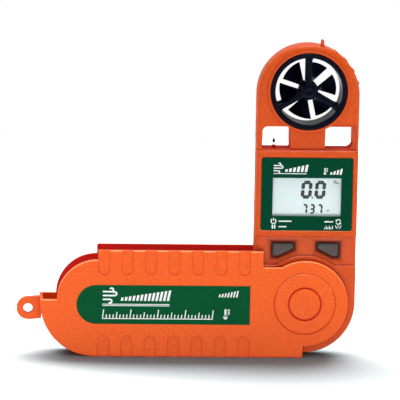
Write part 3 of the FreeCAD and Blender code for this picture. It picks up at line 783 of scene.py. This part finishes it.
def add_overlay_marks():
    """Signs in the places of the printed words: wind and temperature above, the keys' uses below."""
    mesh = bmesh.new()
    y = local_box("display_overlay")[0].y - 0.02
    wind_sign(mesh, -14.3, 56.2, 3.1, y)
    gauge_bars(mesh, -9.5, 56.2, 6, 1.66, 1.0, 1.1, 3.1, y)
    bar(mesh, -14.3, -0.4, 55.3, 55.6, y)
    thermometer_sign(mesh, 7.4, 55.1, 2.9, y)
    gauge_bars(mesh, 9.6, 55.2, 4, 1.35, 0.8, 1.0, 2.5, y)
    power_sign(mesh, -13.9, 35.1, 2.5, y)
    bar(mesh, -11.7, -6.3, 34.85, 35.35, y)
    for x in (-14.6, -13.6):
        bar(mesh, x, x + 0.55, 31.9, 33.6, y)
    bar(mesh, -11.7, -8.4, 32.5, 33.0, y)
    cycle_sign(mesh, 13.6, 35.0, 2.5, y)
    bar(mesh, 7.7, 11.4, 34.75, 35.25, y)
    for k in range(6):
        bar(mesh, 7.7 + 0.66 * k, 8.0 + 0.66 * k, 31.8, 32.6 + 0.7 * (k % 2), y)
    stroke(mesh, [(12.4, 33.4), (13.0, 32.1), (13.6, 33.4), (14.2, 32.1), (14.8, 33.4)], 0.35, y)
    add_piece("overlay_marks", mesh, "meter", "print_white")


def add_label_marks():
    """Signs along the label of the case: gusts, a rising scale and a thermometer over a ruler."""
    mesh = bmesh.new()
    y = local_box("case_label")[0].y - 0.02
    wind_sign(mesh, -85.6, 0.7, 4.6, y)
    gauge_bars(mesh, -78.0, 0.8, 13, 1.62, 0.98, 1.4, 4.5, y)
    for z in (-1.45, -0.85):
        bar(mesh, -85.8, -57.4, z, z + 0.3, y)
    for k in range(33):
        tall = 3.6 if k % 8 == 0 else 2.5 if k % 4 == 0 else 1.5
        bar(mesh, -85.8 + 1.45 * k, -85.8 + 1.45 * k + 0.42, -6.6, -6.6 + tall, y, 0.12)
    bar(mesh, -85.8, -38.9, -7.05, -6.7, y)
    thermometer_sign(mesh, -33.6, -6.9, 4.4, y)
    gauge_bars(mesh, -36.6, 2.6, 7, 1.22, 0.62, 1.2, 2.8, y)
    add_piece("label_marks", mesh, "case", "print_white")


# ---- back of the meter ----
SCREW_PLACES = [(-18.1, 29.5), (18.1, 29.5), (-18.1, 60.8), (18.1, 60.8), (0.0, -16.0)]


def add_screws():
    """Pan heads with a cross recess, in the counterbores of the rear shell."""
    profile = [(0, -3.5), (0.75, -3.5), (0.93, -3.2), (0.93, 4.78), (1.78, 4.78), (1.9, 4.9), (1.9, 5.5),
               (1.75, 5.85), (1.4, 6.12), (0.9, 6.25), (0, 6.28)]
    for number, (x, z) in enumerate(SCREW_PLACES):
        mesh = bmesh.new()
        lathe(mesh, profile, x, z, 48)
        names = ("shell_screws",) if number == 0 else ()
        piece = add_piece("shell_screw_" + str(number + 1), mesh, "meter", "steel", *names)
        tool = bmesh.new()
        turn = 17 + 41 * number
        corners = []
        for k in range(4):
            corners += [polar(1.25, turn + 90 * k - 11, x, z), polar(1.25, turn + 90 * k + 11, x, z),
                        polar(0.34, turn + 90 * k + 45, x, z)]
        deep = [(x + (a - x) * 0.72, z + (b - z) * 0.72) for a, b in corners]
        stack(tool, [(6.6, corners), (5.45, deep)])
        carve(piece, tool)


def add_battery_lid():
    """Round lid with a dished face, a raised middle with the coin slot, two arrows and a knurled rim."""
    mesh = bmesh.new()
    profile = [(0, 5.45), (10.1, 5.45), (10.1, 3.98), (10.35, 3.98), (10.35, 5.45), (13.0, 5.45), (13.0, 6.2),
               (12.9, 6.42), (12.65, 6.54), (11.6, 6.54), (11.3, 6.45), (11.1, 6.3), (10.8, 6.22),
               (7.0, 6.22), (6.6, 6.3), (6.4, 6.46), (6.1, 6.54), (0, 6.54)]
    lathe(mesh, profile, 0, LID_Z, 128)
    for side in (-1, 1):
        inner = [(side * 10.0, LID_Z + z) for z in (-2.3, 2.3)]
        outer = [(side * 11.1, LID_Z + z) for z in (2.2, -2.2)]
        stack(mesh, [(3.98, inner + outer), (4.5, inner + outer)])
    piece = add_piece("battery_lid", mesh, "cell_lid", "meter_orange", "battery_cover")
    slot_shape = rounded_corners([(-5.6, LID_Z - 0.95), (5.6, LID_Z - 0.95), (5.6, LID_Z + 0.95),
                                  (-5.6, LID_Z + 0.95)], 0.9)
    tool = bmesh.new()
    stack(tool, [(7.0, slot_shape), (5.9, slot_shape)])
    carve(piece, tool)
    marks = bmesh.new()
    for start in (60, 240):
        stroke(marks, arc(0, LID_Z, 8.9, start, start + 42, 14), 0.5, 6.2, 0.26)
        tip = polar(8.9, start - 12, 0, LID_Z)
        inner, outer = polar(8.2, start, 0, LID_Z), polar(9.6, start, 0, LID_Z)
        stack(marks, [(6.2, [inner, outer, tip]), (6.46, [inner, outer, tip])])
    for k in range(40):
        ends = [polar(radius, 9 * k, 0, LID_Z) for radius in (11.7, 12.5)]
        stroke(marks, ends, 0.42, 6.44, 0.16)
    add_piece("battery_lid_marks", marks, "cell_lid", "meter_orange")


# Zones of a CAD node that get painted light or shade. Each test gets a face's middle, in millimetres from the fold
# axis, and its normal.
def inside_slot(middle, normal):
    """True for faces on the walls of the case's slot, which get a painted shade: a redder copy of the orange."""
    return abs(middle.y) < 6.95 and -106 < middle.x < 21


def inside_window(middle, normal):
    """True for the walls of the two air windows and of the slots beside them."""
    return abs(normal.y) < 0.6 and abs(middle.x) < 20.2 and 65 < middle.z < 76 and abs(middle.y) < 6.2


def outer_side(middle, normal):
    """True for the meter's straight side walls."""
    return abs(normal.x) > 0.9 and abs(middle.x) > 20.5


def window_or_side(middle, normal):
    """True where the meter's plastic gets painted light, a lighter copy of its orange, as light comes through the
    windows or grazes it.
    """
    return inside_window(middle, normal) or outer_side(middle, normal)


def edge_to_light(middle, normal):
    """True for the rounded edges of the front plate that face upwards, which get a painted highlight."""
    return normal.z > 0.3 and -0.95 < normal.y < -0.25 and middle.y < -8


def film_rim(middle, normal):
    """True for the bevel under the printed film, which catches the light from above and gets a painted highlight.
    """
    return normal.z > 0.3 and middle.y < -5.5 and 30 < middle.z < 31.6 and abs(middle.x) < 20


def round_keys(middle, normal):
    """True for the face that the two keys stand in, which gets painted shade round the keys and in their sunken
    dish.
    """
    return middle.y < -3.5 and abs(middle.x) < 19.5 and 16.5 < middle.z < 28.2


ZONES = {"case_front_cover": [("case_slot_painted_shade", inside_slot), ("painted_highlight_rim", edge_to_light)],
         "case_rear_shell": [("case_slot_painted_shade", inside_slot)],
         "meter_front_shell": [("key_field_painted_shade", round_keys), ("meter_painted_light", window_or_side),
                               ("painted_highlight_rim", film_rim)],
         "meter_rear_shell": [("meter_painted_light", window_or_side)]}


def dress_nodes():
    """Gives every CAD node the finish of its slot, and another, with painted light or shade, on each zone of it.
    """
    for name, node in frame["nodes"].items():
        node.data.materials.clear()
        node.data.materials.append(FINISH["label_green" if name == "case_label" else SLOTS[name]])
        for index, (finish, inside) in enumerate(ZONES.get(name, []), 1):
            node.data.materials.append(FINISH[finish])
            for face in node.data.polygons:
                middle = face.center - Vector((PIVOT.x, 0, PIVOT.z))
                if inside(middle / MM, face.normal):
                    face.material_index = index


bpy.context.scene.view_settings.view_transform = "Standard"
add_camera()
add_room()
add_lamps(add_floor())
FINISH = make_finishes()
dress_nodes()
add_impeller()
add_vane_ring()
add_rear_guard()
add_thermistor()
add_button("left_button", -1)
add_button("right_button", 1)
add_lcd_figures()
add_overlay_marks()
add_label_marks()
add_screws()
add_battery_lid()
